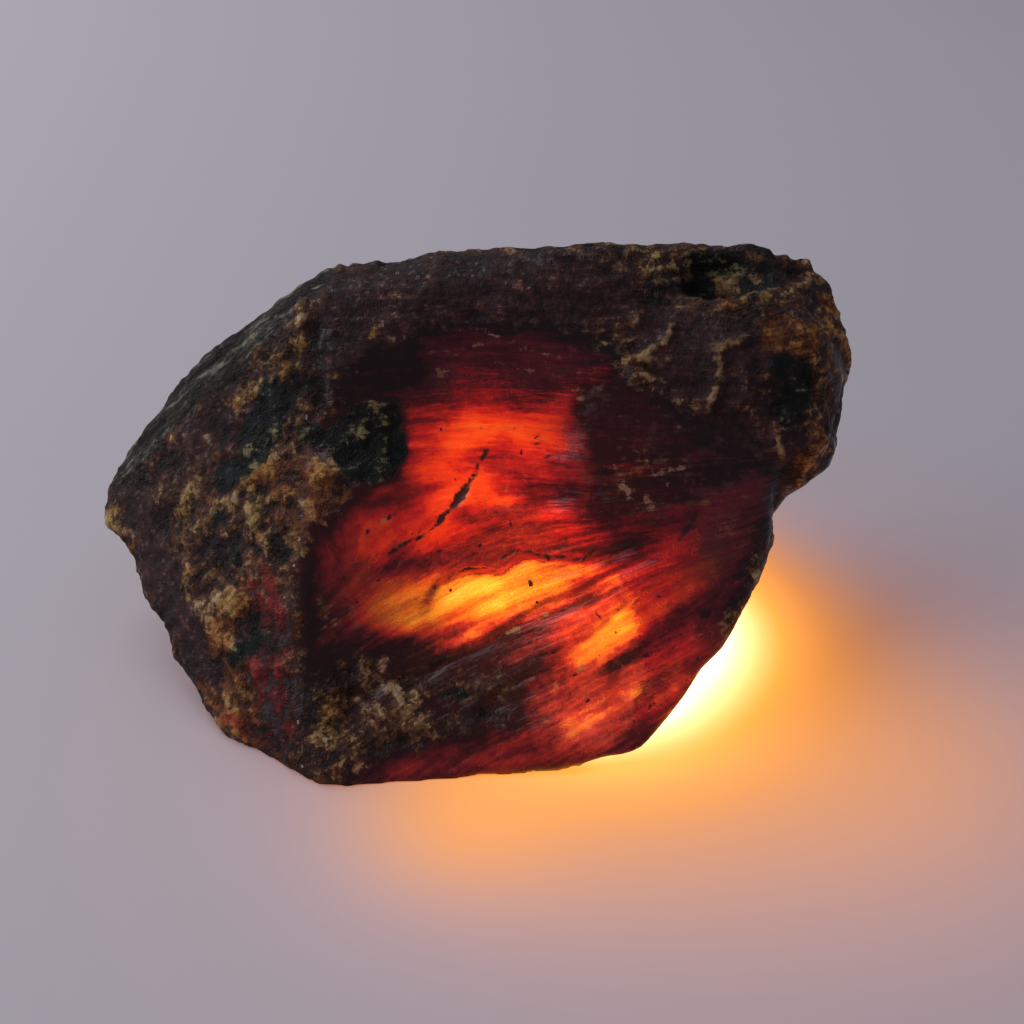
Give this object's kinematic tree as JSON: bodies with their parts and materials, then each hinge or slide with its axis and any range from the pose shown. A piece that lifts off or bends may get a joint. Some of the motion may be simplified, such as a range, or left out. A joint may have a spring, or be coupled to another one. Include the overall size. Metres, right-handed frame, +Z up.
{
  "type": "raw amber piece",
  "caption": "Rough see-through amber, red to honey-coloured where light passes, with a glassy break in front and a dark weathered crust.",
  "frame": {"origin": "middle of the plan bounding box, on the plane of the flat face that the stone rests on", "axes": "+X along the length, from the pointed end to the knobbly end; +Z up from the resting face; the glassy break faces -Y and up"},
  "size_m": [0.0708, 0.045, 0.0351],
  "materials": {
    "amber": "see-through red to honey resin, glassy on the break and matt brown crust elsewhere"
  },
  "bodies": {
    "root": {"amber_piece": "amber"}
  },
  "joints": []
}
